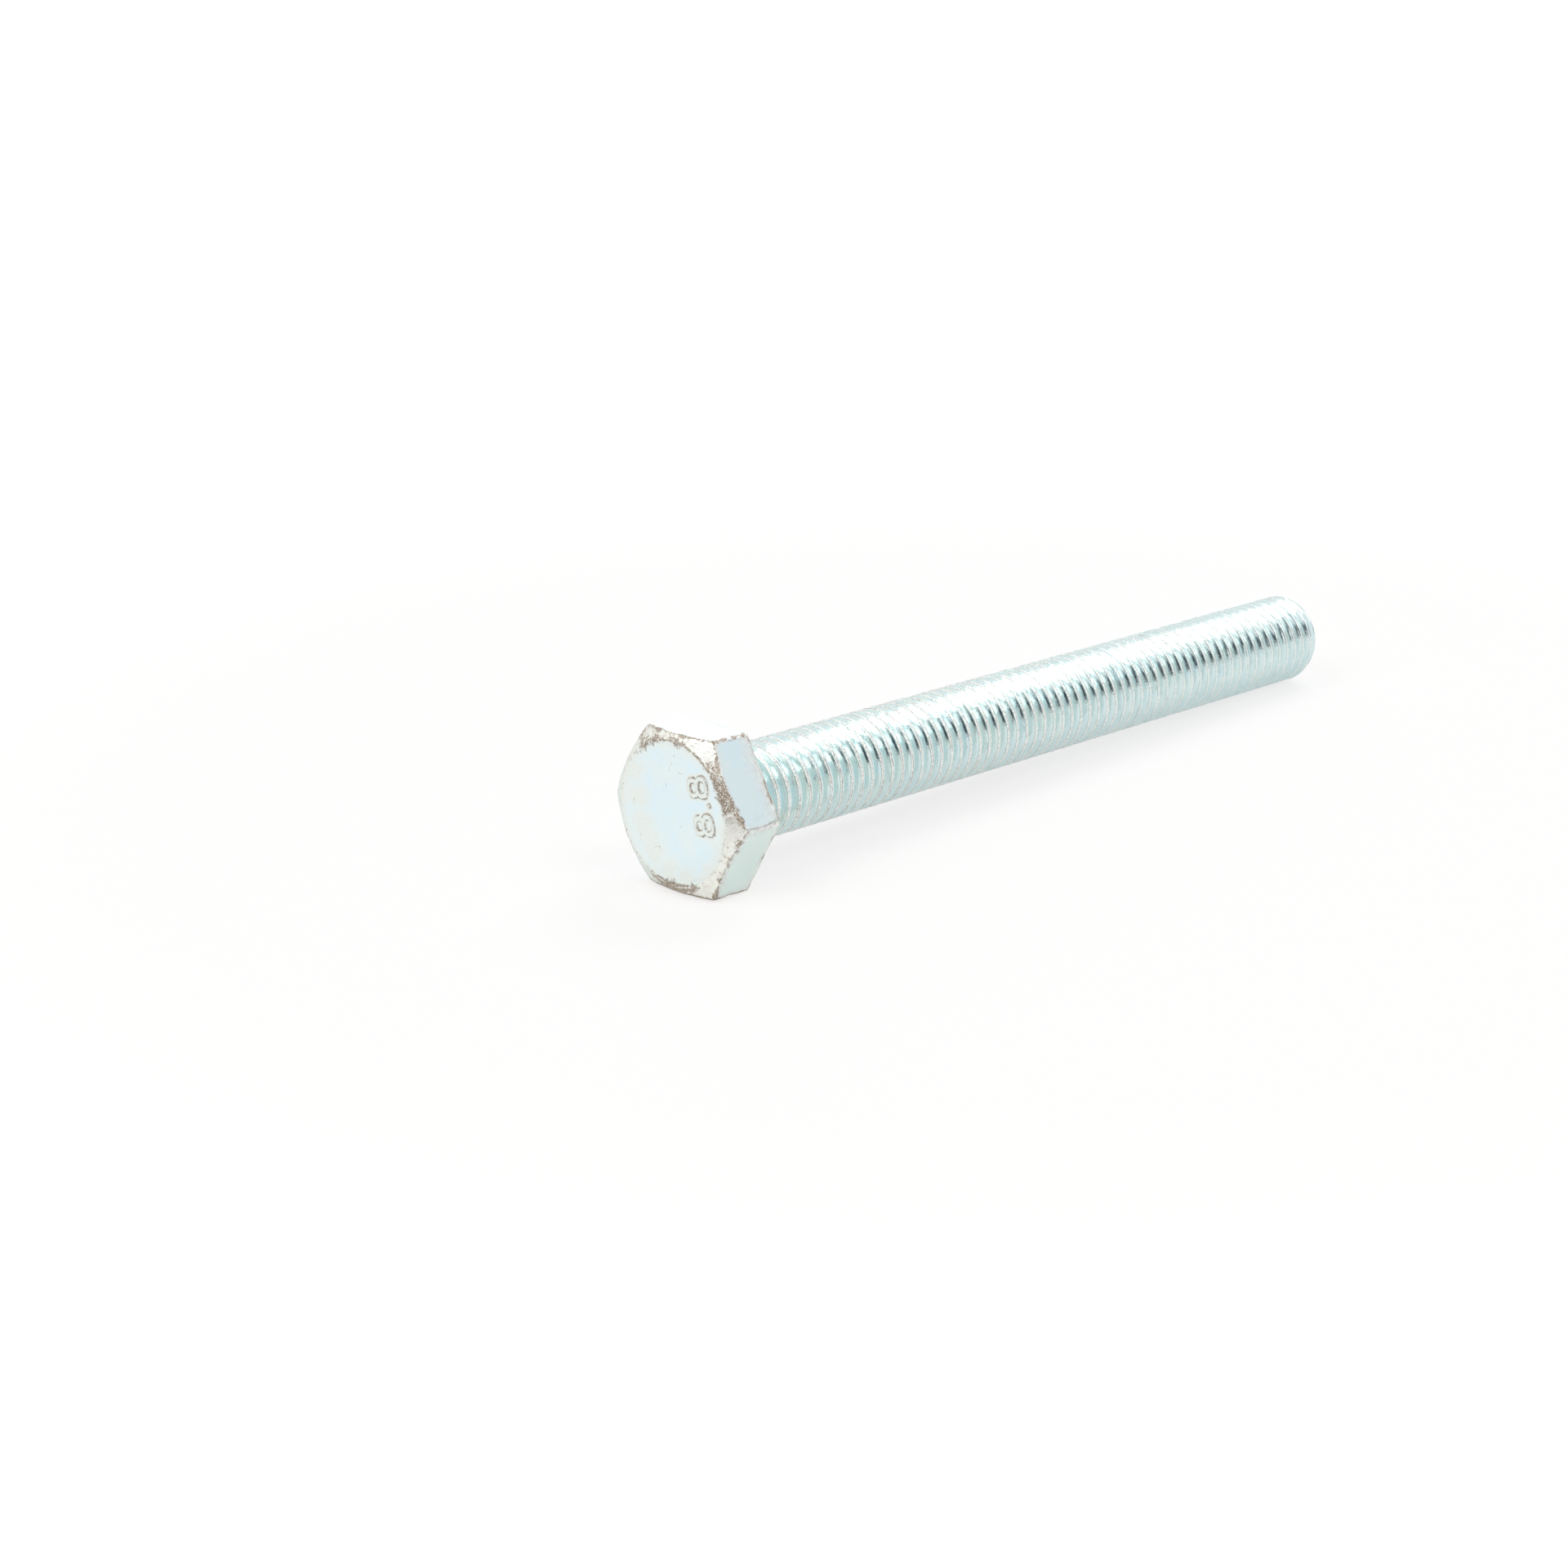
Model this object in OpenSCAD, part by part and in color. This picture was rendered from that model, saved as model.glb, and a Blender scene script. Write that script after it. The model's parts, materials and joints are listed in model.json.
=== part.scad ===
// Fully threaded hexagon head bolt of thread size M12, 110 mm long.
//
// The bolt is one solid. It is drawn along its own axis: the bearing face
// under the head lies at z = 0, the thread runs from there to z = length,
// and the head reaches back to z = -head_h. Two of the head's flats face
// the -x and +x sides. lie_at_rest() then lays it down on a flat surface at
// height 0, with the thread's tip towards +X.

/* [Thread] */
// Diameter over the thread's crests
thread_d = 11.75; // [10.5:0.05:12.5]
// Distance from one crest to the next
pitch = 1.75; // [1.25:0.05:2]
// Angle between the two flanks of a groove
flank_angle = 60; // [55:1:70]
// Width of the flat on a crest
crest_flat = 0.34; // [0.15:0.01:0.45]
// Width of the flat at the bottom of a groove
root_flat = 0.26; // [0.15:0.01:0.4]
// From the bearing face to the tip
length = 110; // [40:1:160]

/* [Point] */
// Diameter of the flat end face at the tip
point_d = 8.4; // [7:0.1:9.8]
// Angle between the tip's chamfer and the bolt's axis
point_angle = 45; // [30:1:60]

/* [Neck] */
// Radius of the fillet between the bearing face and the neck
fillet_r = 0.7; // [0.3:0.05:1.1]
// Least length of plain neck between the bearing face and the thread
neck_min = 1.2; // [1.1:0.1:3]

/* [Head] */
// Width of the hexagon from flat to flat
across_flats = 19; // [18:0.1:22]
// Height of the head, washer face included
head_h = 7.35; // [5:0.05:9]
// Diameter of the round flat on top of the head, inside the chamfer
top_circle_d = 17.35; // [15:0.05:17.9]
// Angle between the head's chamfer and its top
chamfer_angle = 30; // [15:1:40]
// Diameter of the washer face, the round bearing face under the head
washer_d = 17.6; // [16:0.05:17.9]
// Height of the washer face
washer_t = 0.6; // [0.2:0.05:0.8]

/* [Hidden] */

zinc_colour = [0.77, 0.83, 0.86];
round_facets = 128;
fillet_steps = 6;

// Thread: a groove's two flanks rise from its flat root to the crests
thread_r = thread_d / 2;
groove_depth = (pitch - crest_flat - root_flat) / 2 / tan(flank_angle / 2);
root_r = thread_r - groove_depth;

// A rolled thread is raised on a blank as thick as half the groove's depth
neck_r = thread_r - groove_depth / 2;
runout_l = (thread_r - neck_r) * tan(flank_angle / 2);

// The chamfer of the tip starts where the last crest ends
point_l = (thread_d - point_d) / 2 / tan(point_angle);
thread_end = length - point_l;
crests = 1 + floor((thread_end - crest_flat - runout_l - neck_min) / pitch);

// Hexagon: from the axis to a flat, and to a corner
flat_r = across_flats / 2;
corner_r = flat_r / cos(30);
top_r = top_circle_d / 2;

// The shape that cuts the chamfer reaches this far past the corners
cut_margin = 1;

// At rest the back edge of the lowest flat and the last crest touch the
// surface below, so the axis falls a little towards the tip
rest_tilt = atan((flat_r - thread_r) / (thread_end + washer_t));
axis_h = flat_r * cos(rest_tilt) - washer_t * sin(rest_tilt);
head_x = -head_h * cos(rest_tilt) - top_r * sin(rest_tilt);
tip_x = length * cos(rest_tilt) + point_d / 2 * sin(rest_tilt);

// Outline [r, z] of one crest and of the groove behind it, towards the head
function crest_outline(end) = [
    [thread_r, end],
    [thread_r, end - crest_flat],
    [root_r, end - crest_flat - groove_depth * tan(flank_angle / 2)],
    [root_r, end - pitch + groove_depth * tan(flank_angle / 2)]
];

// The crest next to the neck has no groove behind it, only its flank
function first_crest_outline(end) = [
    [thread_r, end],
    [thread_r, end - crest_flat],
    [neck_r, end - crest_flat - runout_l]
];

function fillet_outline() = [
    for (i = [0 : fillet_steps])
        let (a = 90 * i / fillet_steps)
            [neck_r + fillet_r * (1 - cos(a)), fillet_r * (1 - sin(a))]
];

// Tip, thread, neck, fillet and washer face, turned as one outline with a
// core that reaches halfway into the head
module turned_body() {
    tip = [[0, length], [point_d / 2, length]];
    thread = [
        for (i = [0 : crests - 2])
            each crest_outline(thread_end - i * pitch)
    ];
    first_crest = first_crest_outline(thread_end - (crests - 1) * pitch);
    washer_face = [
        [washer_d / 2, 0],
        [washer_d / 2, -washer_t],
        [neck_r, -washer_t],
        [neck_r, -head_h / 2],
        [0, -head_h / 2]
    ];
    rotate_extrude($fn = round_facets)
        polygon(concat(tip, thread, first_crest, fillet_outline(), washer_face));
}

// Hexagon whose top corners are cut back by a cone
module head() {
    cone_rise = (corner_r - top_r) * tan(chamfer_angle);
    intersection() {
        translate([0, 0, -head_h])
            rotate([0, 0, 30])
                cylinder(r = corner_r, h = head_h - washer_t, $fn = 6);
        rotate_extrude($fn = round_facets)
            polygon([
                [0, -head_h],
                [top_r, -head_h],
                [corner_r, -head_h + cone_rise],
                [corner_r + cut_margin, -head_h + cone_rise],
                [corner_r + cut_margin, 0],
                [0, 0]
            ]);
    }
}

// Lays the bolt down at rest, with its box centred over the origin
module lie_at_rest() {
    translate([-(head_x + tip_x) / 2, 0, axis_h])
        rotate([0, 90 + rest_tilt, 0])
            children();
}

module hex_bolt() {
    color(zinc_colour)
        lie_at_rest()
            union() {
                turned_body();
                head();
            }
}

hex_bolt();
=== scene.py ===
"""Looks of the fully threaded hex bolt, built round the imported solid.

The bolt is modelled once more as one closed mesh, which replaces the solid. It adds what the solid
leaves out: the helix of the thread, worn edges, dents and the raised strength number. It is worked
out in millimetres along the bolt's own axis and then laid on the floor by the frame's own mounts:

    x  down, across the axis        y  sideways, +Y of the row frame
    z  along the axis: 0 at the bearing face, negative in the head, largest at the tip
"""

import json
import math
import random

import bmesh
import bpy
import numpy as np
from mathutils import Matrix, Vector, noise
from mathutils.geometry import delaunay_2d_cdt


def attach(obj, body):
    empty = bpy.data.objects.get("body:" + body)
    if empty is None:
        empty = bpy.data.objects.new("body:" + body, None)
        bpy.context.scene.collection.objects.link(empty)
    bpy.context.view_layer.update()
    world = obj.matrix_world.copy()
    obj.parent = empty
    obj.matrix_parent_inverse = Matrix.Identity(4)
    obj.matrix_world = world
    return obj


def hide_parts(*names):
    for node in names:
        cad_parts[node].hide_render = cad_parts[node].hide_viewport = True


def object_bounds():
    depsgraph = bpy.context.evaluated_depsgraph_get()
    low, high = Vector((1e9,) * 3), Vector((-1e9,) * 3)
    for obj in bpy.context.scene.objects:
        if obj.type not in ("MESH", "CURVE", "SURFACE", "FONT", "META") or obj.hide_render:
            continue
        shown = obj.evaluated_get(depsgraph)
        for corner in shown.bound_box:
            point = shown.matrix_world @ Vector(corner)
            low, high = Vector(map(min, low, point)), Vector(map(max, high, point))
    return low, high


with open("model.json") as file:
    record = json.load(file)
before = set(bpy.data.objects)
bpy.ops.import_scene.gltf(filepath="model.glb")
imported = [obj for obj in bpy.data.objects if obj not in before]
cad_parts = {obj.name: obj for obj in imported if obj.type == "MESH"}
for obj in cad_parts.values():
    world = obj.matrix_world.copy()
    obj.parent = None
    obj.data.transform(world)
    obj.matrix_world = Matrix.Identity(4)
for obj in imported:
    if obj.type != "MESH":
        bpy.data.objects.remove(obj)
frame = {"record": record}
cad_low, cad_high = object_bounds()

MM = 0.001

# ----------------------------------------------------------------------------- sizes from the frame
MOUNTS = {mount["name"]: mount for mount in frame["record"]["mounts"]}
BOLT_AXIS = Vector(MOUNTS["thread"]["axis"]).normalized()
THREAD_MIDDLE = Vector(MOUNTS["thread"]["pos_m"])
THREAD_R = MOUNTS["thread"]["dims"]["r_mm"]
THREAD_L = MOUNTS["thread"]["dims"]["length_mm"]
BEARING_SHIFT = (Vector(MOUNTS["bearing_face"]["pos_m"]) - THREAD_MIDDLE).dot(BOLT_AXIS)
BEARING_CENTRE = THREAD_MIDDLE + BOLT_AXIS * BEARING_SHIFT
THREAD_END = THREAD_L / 2 - BEARING_SHIFT / MM

# The bolt's own axes in the row frame: down, sideways and along the axis
SIDEWAYS = Vector((0, 1, 0))
DOWN = SIDEWAYS.cross(BOLT_AXIS)
AXES = Matrix((DOWN, SIDEWAYS, BOLT_AXIS)).transposed()
TO_ROW = Matrix.Translation(BEARING_CENTRE) @ AXES.to_4x4() @ Matrix.Scale(MM, 4)
TILT_COS, TILT_SIN = BOLT_AXIS.x, -BOLT_AXIS.z

# Head: corner to corner lies across Y, and the box ends at the edge of the round flat on top
TOP_R = 8.675
CORNER_R = cad_high[1] / MM
FLAT_R = CORNER_R * math.cos(math.radians(30))
HEAD_H = ((BEARING_CENTRE.x - cad_low[0]) / MM - TOP_R * TILT_SIN) / TILT_COS
CHAMFER = math.radians(30)
WASHER_R = 8.8
WASHER_T = 0.6

# Thread, neck and tip, whose chamfer falls at 45 degrees from the last crest
PITCH = 1.75
GROOVE_DEPTH = 0.996
CREST_FLAT = 0.34
ROOT_FLAT = 0.26
NECK_R = THREAD_R - GROOVE_DEPTH / 2
NECK_END = 1.2
FILLET_R = 0.7
TIP_REACH = (cad_high[0] - BEARING_CENTRE.x) / MM
LENGTH = (TIP_REACH - (THREAD_R + THREAD_END) * TILT_SIN) / (TILT_COS - TILT_SIN)
POINT_R = THREAD_R - (LENGTH - THREAD_END)

# ------------------------------------------------------------------------------------- mesh density
THREAD_COLUMNS = 72
HEAD_COLUMNS = 4 * THREAD_COLUMNS
HALF_PHASES = (0.04, 0.08, 0.12, 0.155, 0.25, 0.36, 0.44)
THREAD_PHASES = [-p for p in reversed(HALF_PHASES)] + [0.0] + list(HALF_PHASES)

# Smooth noises that shape the mesh: size of their lumps in millimetres, and seed
FIELDS = {
    "seam": (2.6, 6),
    "flattened": (1.1, 3),
    "waver": (1.2, 4),
    "forging": (2.6, 21),
    "skin": (0.8, 22),
    "rounding": (1.7, 31),
    "edge": (1.3, 33),
}


# ------------------------------------------------------------------------------------------ helpers
def smoothstep(value, low, high):
    """0 below low, 1 above high and smooth between."""
    t = np.clip((value - low) / (high - low), 0, 1)
    return t * t * (3 - 2 * t)


def smooth_max(a, b, width):
    """The larger of a and b, with the corner between them rounded over that width."""
    h = np.maximum(width - np.abs(a - b), 0) / width
    return np.maximum(a, b) + h * h * width / 4


def smooth_min(a, b, width):
    return -smooth_max(-a, -b, width)


def bell(value, width, power=2):
    """1 where the value is 0, and falling to 0 beyond that width; the power is even."""
    return np.exp(-((value / width) ** power))


def field(points, name):
    """One of the smooth noises, from -1 to 1, at each point."""
    size, seed = FIELDS[name]
    shift = Vector((seed * 7.3, seed * 3.1, seed * 5.7))
    return np.array([noise.noise(Vector(p) / size + shift) for p in points])


def circle(radius, z, columns):
    turn = 2 * math.pi / columns
    return [(radius * math.cos(i * turn), radius * math.sin(i * turn), z) for i in range(columns)]


# Shares, from 0 to 1, that the material reads at each point: on the thread, on its crests, on the
# dark lines along crests and edges, which also carry painted shade at the head's bottom edges and
# round the foot of the raised number, on rough forged skin, rubbed creamy, stained brown, on the
# head's flats, and greenish
FINISHES = ("thread", "crest", "line", "forged", "cream", "stain", "flat", "mint")


class Shell:
    """Collects the points and faces of the one closed mesh, and the finish at each point."""

    def __init__(self):
        self.points = []
        self.faces = []
        self.finish = {name: [] for name in FINISHES}

    def add(self, points, **finish):
        """Adds points, each with its share of each finish, and returns their indices."""
        first = len(self.points)
        self.points.extend(tuple(float(c) for c in p) for p in points)
        count = len(self.points) - first
        for name, values in self.finish.items():
            given = finish.get(name, 0.0)
            values.extend([float(v) for v in np.broadcast_to(given, (count,))])
        return list(range(first, first + count))

    def face(self, *corners):
        """Adds a face, leaving out corners that coincide."""
        kept = []
        for corner in corners:
            if corner not in kept:
                kept.append(corner)
        if len(kept) > 2:
            self.faces.append(kept)

    def join(self, ring, other):
        """Faces between two closed rings; the other has a whole number of times as many points."""
        share = len(other) // len(ring)
        for i, corner in enumerate(ring):
            after = ring[(i + 1) % len(ring)]
            strip = [other[(i * share + k) % len(other)] for k in range(share + 1)]
            half = share // 2
            for k in range(half):
                self.face(corner, strip[k], strip[k + 1])
            self.face(corner, strip[half], strip[half + 1], after)
            for k in range(half + 1, share):
                self.face(after, strip[k], strip[k + 1])


# -------------------------------------------------------------------------------------------- shank
# The helix passes the lowest line of the shank this far before the end of the thread, and the
# groove grows to its full depth between these heights over the bearing face
CREST_BEFORE_END = 0.58
RUNOUT = (1.4, 2.9)

# Widths over which crests, roots and the edge of the tip's chamfer are rounded
CREST_ROUND = 0.12
ROOT_ROUND = 0.27
TIP_ROUND = 0.12

# Crests: how far below their radius they begin and are full, how far they wander sideways and are
# rubbed down, and how their creamy look fades between two heights
CREST_DEPTHS = (0.20, 0.07)
WAVER = 0.09
FLATTENED = 0.01
CREST_FADE = 0.55
CREST_FADE_FROM_TO = (40, 100)

# The faint seam that rolling leaves along the middle of a crest, fading between two heights
SEAM_DEPTH = 0.06
SEAM_LEAST = 0.35
SEAM_NOISE = (-0.35, 0.25)
SEAM_FADE = 0.75
SEAM_FADE_FROM_TO = (25, 60)

# Small knocks on the crests: their depths, their reach in rows, and the share of their depth in
# the columns beside them
NICKS = 240
NICK_DEPTHS = (0.03, 0.12)
NICK_ROWS = 4
NICK_COLUMNS = ((-1, 0.35), (0, 1.0), (1, 0.35))

# How creamy the thread is, and by how much more the rim of the tip's end face is rubbed
THREAD_CREAM = 0.35
TIP_CREAM = 0.5

# End face of the tip: depth of its dish, of which its rim has a little too, and its rings' radii
TIP_DISH = 0.16
TIP_RIM_DISH = 0.02
TIP_RINGS = (0.985, 0.93, 0.8, 0.6, 0.4, 0.2)

FILLET_STEPS = 6


def groove_profile(phase):
    """Height of the thread over its root, at a phase from -0.5 to 0.5 with the crest at 0."""
    crest = CREST_FLAT / 2 / PITCH
    root = 0.5 - ROOT_FLAT / 2 / PITCH
    height = (root - np.abs(phase)) / (root - crest) * GROOVE_DEPTH
    rounded = smooth_min(height, GROOVE_DEPTH + 0 * height, CREST_ROUND)
    return smooth_max(rounded, 0 * height, ROOT_ROUND)


def thread_rows():
    """Height and crest phase of each row along the bottom line of the shank."""
    last_crest = THREAD_END - CREST_BEFORE_END
    start = last_crest - math.ceil(THREAD_END / PITCH + 1) * PITCH
    turns = math.ceil((LENGTH - start) / PITCH) + 1
    rows = [
        (start + PITCH * (turn + phase), phase) for turn in range(turns) for phase in THREAD_PHASES
    ]
    return np.array([z for z, _ in rows]), np.array([phase for _, phase in rows])


def crest_nicks(columns, rows):
    """Millimetres by which small knocks have flattened the crests."""
    rng = random.Random(11)
    wear = np.zeros((columns, rows))
    for _ in range(NICKS):
        column, row = rng.randrange(columns), rng.randrange(rows)
        depth = rng.uniform(*NICK_DEPTHS)
        low = max(0, row - NICK_ROWS)
        for step, share in NICK_COLUMNS:
            wear[(column + step) % columns, low : row + NICK_ROWS + 1] += depth * share
    return wear


def crest_seam(crest, phase, z, around):
    """How strongly the seam shows, 0 to 1: patchy, and fading towards the tip."""
    seam = crest * smoothstep(-np.abs(phase), -2 * HALF_PHASES[0], 0)[None, :]
    patchy = smoothstep(field(around, "seam").reshape(z.shape), *SEAM_NOISE)
    seam = seam * (SEAM_LEAST + (1 - SEAM_LEAST) * patchy)
    return seam * (1 - SEAM_FADE * smoothstep(z, *SEAM_FADE_FROM_TO))


def add_shank(shell):
    """Helical thread and chamfered tip; returns the lowest ring, at the plain neck."""
    base, phase = thread_rows()
    columns = THREAD_COLUMNS
    step = np.arange(columns)[:, None] / columns
    z = np.clip(base[None, :] + PITCH * step, NECK_END, LENGTH)
    angle = 2 * math.pi * step + 0 * z
    thread = THREAD_R - GROOVE_DEPTH + groove_profile(phase)[None, :] + 0 * z
    radius = NECK_R + (thread - NECK_R) * smoothstep(z, *RUNOUT)
    crest = smoothstep(radius, *(THREAD_R - depth for depth in CREST_DEPTHS))

    around = np.stack([THREAD_R * np.cos(angle), THREAD_R * np.sin(angle), z], -1).reshape(-1, 3)
    seam = crest_seam(crest, phase, z, around)
    flattened = FLATTENED * (1 + field(around, "flattened").reshape(z.shape))
    between_ends = (z > NECK_END) * (z < LENGTH)
    z = z + WAVER * crest * field(around, "waver").reshape(z.shape) * between_ends
    radius = radius - crest * (flattened + crest_nicks(*z.shape)) - SEAM_DEPTH * seam
    radius = smooth_min(radius, POINT_R + (LENGTH - z), TIP_ROUND)
    points = np.stack([radius * np.cos(angle), radius * np.sin(angle), z], -1)
    crest = crest * (1 - CREST_FADE * smoothstep(z, *CREST_FADE_FROM_TO))

    # A column keeps one point at either end, where its rows were held back to the neck or the tip
    index = np.zeros(z.shape, int)
    for i in range(columns):
        inside = np.nonzero((z[i] > NECK_END) & (z[i] < LENGTH))[0]
        low, high = inside[0] - 1, inside[-1] + 1
        kept = slice(low, high + 1)
        looks = {"crest": crest[i, kept], "line": seam[i, kept], "cream": THREAD_CREAM}
        new = shell.add(points[i, kept], thread=1.0, **looks)
        index[i, :low] = new[0]
        index[i, low : high + 1] = new
        index[i, high:] = new[-1]

    # One turn further round, the same helical line is one pitch of rows further on
    rows = z.shape[1]
    one_pitch_on = np.minimum(np.arange(rows) + len(THREAD_PHASES), rows - 1)
    after = np.vstack([index[1:], index[0, one_pitch_on]])
    for i in range(columns):
        for j in range(rows - 1):
            shell.face(index[i, j], after[i, j], after[i, j + 1], index[i, j + 1])
    add_tip_face(shell, list(index[:, -1]))
    return list(index[:, 0])


def add_tip_face(shell, rim):
    """The end face of the tip, slightly dished, as thread rolling leaves it."""
    ring = rim
    for share in TIP_RINGS:
        depth = TIP_DISH * float(smoothstep(1 - share, 0.0, 0.9)) + TIP_RIM_DISH
        worn = THREAD_CREAM + TIP_CREAM * share**3
        points = circle(POINT_R * share, LENGTH - depth, THREAD_COLUMNS)
        after = shell.add(points, thread=1.0, cream=worn)
        shell.join(ring, after)
        ring = after
    middle = shell.add([(0, 0, LENGTH - TIP_DISH)], thread=1.0, cream=THREAD_CREAM)[0]
    for i, corner in enumerate(ring):
        shell.face(corner, middle, ring[(i + 1) % len(ring)])


def add_neck(shell, ring):
    """From the neck down the fillet to the bearing face; returns the outer ring."""
    for step in range(FILLET_STEPS, -1, -1):
        a = math.pi / 2 * step / FILLET_STEPS
        radius = NECK_R + FILLET_R * (1 - math.sin(a))
        points = circle(radius, FILLET_R * (1 - math.cos(a)), THREAD_COLUMNS)
        after = shell.add(points, thread=1.0)
        shell.join(ring, after)
        ring = after
    return ring


# --------------------------------------------------------------------------------------------- head
# The finely meshed middle of the face reaches this far
FACE_RIM = 8.2

# Rings of the sharp head, from the bearing face's rim to the face's: radii on the bearing face,
# heights down the washer face, shares of the way along its back, down the flats and along the
# chamfer, and radii on top
BEARING_RADII = (FACE_RIM, 8.5, 8.68, 8.76)
WASHER_HEIGHTS = (0.03, 0.12, 0.3, 0.5)
BACK_SHARES = (0.05, 0.3, 0.55, 0.75, 0.87, 0.95, 0.99)
FLAT_SHARES = (
    0.01, 0.025, 0.045, 0.07, 0.11, 0.17, 0.25, 0.35, 0.45,
    0.55, 0.65, 0.75, 0.83, 0.89, 0.93, 0.955, 0.975, 0.99,
)
CHAMFER_SHARES = (0.03, 0.09, 0.18, 0.3, 0.45, 0.6, 0.75, 0.86, 0.94, 0.98)
TOP_RADII = (TOP_R - 0.02, 8.58, 8.46, 8.33, FACE_RIM)

# Widths over which edges are rounded: between two flats, between flats and chamfer, round the top,
# behind the flats, and at the washer face's edge, inner end and root
CORNER_ROUND = 0.40
CHAMFER_ROUND = 0.20
TOP_ROUND = 0.14
BACK_ROUND = 0.45
WASHER_ROUND = 0.14
WASHER_END_ROUND = 0.10
WASHER_ROOT_ROUND = 0.16

# Wear of the edges: how unevenly they are rounded, between which limits, how far in from the edge
# they are rough and by how much
ROUNDING_SPREAD = 0.9
ROUNDING_LIMITS = (0.35, 2)
EDGE_REACH = 0.45
EDGE_ROUGHNESS = 0.02

# Small dents in the head: their sizes and depths
DENTS = 90
DENT_SIZES = (0.25, 0.8)
DENT_DEPTHS = (0.02, 0.08)

# Raised strength number on the right half of the head: its middle, the angle by which its reading
# direction leans from straight up towards +Y, its height, the width of its strokes, how far either
# figure is from the middle, and how far the point is below it
NUMBER_MIDDLE = np.array([-1.95, -4.75])
NUMBER_LEAN = math.radians(14)
NUMBER_HEIGHT = 0.17
STROKE = 0.40
FIGURE_SHIFT = 2.2
POINT_DROP = 1.35

# The two boxy loops of a figure 8: half width, half height, middle and mean radius
LOOPS = ((1.0, 0.72, -0.72, 0.80), (0.88, 0.70, 0.70, 0.76))
LOOP_POWER = 2.6

# Points inside the face's rim: the spacing close to strokes and scratches and elsewhere, how far
# from a stroke and from a scratch is close, and the share of the spacing by which they are shaken
CLOSE_SPACING, WIDE_SPACING = 0.09, 0.30
CLOSE_TO_STROKE, CLOSE_TO_SCRATCH = 0.45, 0.12
SHAKE = 0.12

# Heights of the two noises that leave the face uneven
FORGING_HEIGHT = 0.030
SKIN_HEIGHT = 0.012

# Dark lines: the outline of the number, painted shade that lies a little outside its strokes where
# their relief meets the face, the scratches and the crack near the back of a flat
OUTLINE_SHARE, OUTLINE_WIDTH, OUTLINE_GAP = 0.82, 0.15, 0.08
SCRATCH_SHARE, SCRATCH_WIDTH = 0.6, 0.08
CRACK_SHARE, CRACK_WIDTH = 1.15, 0.26

# Creamy wear: how much further it reaches along the edges of one flat, how strong it is behind
# the flats and how far it reaches there, and how far from a stroke of the number it fades
EDGE_REACH_MORE = 0.4
BACK_SHARE, BACK_REACH, BACK_REACH_MORE = 0.9, 1.5, 1.1
NUMBER_REACH = (-0.85, -0.40)

# How far behind the bearing face the forged skin reaches, and the highest share of stain
SKIN_REACH = 1.6
MOST_STAIN = 1.2

# Stains of brown wear: middle x, y, z, reach in millimetres and strength
STAINS = (
    # on the chamfer over the upper right flat
    (-5.9, -6.9, -7.0, 1.0, 0.8),
    (-4.9, -7.5, -7.1, 1.0, 1.0),
    (-3.8, -8.0, -7.1, 1.1, 1.0),
    (-2.6, -8.7, -7.0, 0.9, 0.9),
    (-1.3, -9.4, -6.8, 0.8, 0.7),
    (-7.2, -6.4, -6.9, 1.4, 0.6),
    # on the chamfer at the bottom, at the top left and to the right
    (8.7, 0.2, -6.9, 1.6, 0.8),
    (7.9, -3.2, -7.0, 1.4, 0.5),
    (-8.0, 5.2, -6.9, 1.9, 0.85),
    (-8.9, 3.0, -6.6, 1.6, 0.7),
    (-9.0, -0.8, -6.9, 1.6, 0.6),
    (3.4, -9.1, -6.7, 1.0, 0.4),
    # along the back of the upper right flat
    (-4.4, -8.4, -1.3, 0.5, 0.9),
    (-3.7, -8.8, -1.3, 0.6, 1.1),
    (-3.0, -9.2, -1.3, 0.6, 1.1),
    (-2.2, -9.7, -1.3, 0.6, 1.1),
    (-1.3, -10.2, -1.3, 0.6, 1.0),
    (-6.6, -7.1, -0.8, 1.0, 0.6),
    (-8.6, -6.0, -0.9, 0.7, 0.8),
    # along its upper corner
    (-9.4, -5.5, -5.6, 0.6, 1.0),
    (-9.4, -5.5, -4.3, 0.5, 1.0),
    (-9.4, -5.5, -2.9, 0.5, 1.0),
    (-9.4, -5.5, -1.4, 0.6, 1.0),
    # at the right corner, behind and along the chamfer
    (-0.5, -10.7, -1.1, 0.7, 0.9),
    (-3.4, -9.0, -6.5, 0.7, 0.9),
    (-2.4, -9.6, -6.3, 0.8, 1.0),
    (-1.4, -10.2, -6.2, 0.9, 1.0),
    (-0.5, -10.7, -6.0, 0.7, 0.8),
    # along the lower right flat
    (1.6, -10.1, -6.4, 0.7, 0.65),
    (5.5, -7.8, -6.9, 0.9, 0.35),
    (4.6, -8.3, -6.5, 0.5, 0.7),
    (6.5, -7.2, -6.8, 0.5, 0.7),
    (2.6, -9.5, -6.2, 0.5, 0.7),
    (2.0, -9.8, -0.8, 0.7, 0.7),
    (5.0, -8.1, -0.8, 0.8, 0.6),
    # on the far side
    (4.8, 9.0, -6.5, 1.8, 0.7),
    (0.5, 10.4, -3.5, 1.6, 0.5),
    (-5.5, 8.0, -0.9, 1.6, 0.7),
    (9.3, 4.0, -0.9, 1.5, 0.6),
)

# Flats, counted round from the lowest: those whose film is greenish, the upper right one that is
# worn along its back, and the lower right one that is worn wider along its edges
MINT_SIDES = (2, 5)
WORN_BACK_SIDE = 4
WORN_EDGE_SIDE = 5

# Zones where the blue film is rubbed thin and looks creamy: middle x, y on the face, and reach
RUBBED = (
    (-4.0, 6.6, 2.2),
    (-1.0, 5.6, 2.3),
    (2.2, 4.9, 2.4),
    (5.0, 3.4, 2.4),
    (7.3, 0.6, 2.2),
    (7.2, -2.4, 2.0),
    (5.6, -5.6, 1.3),
)

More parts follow.
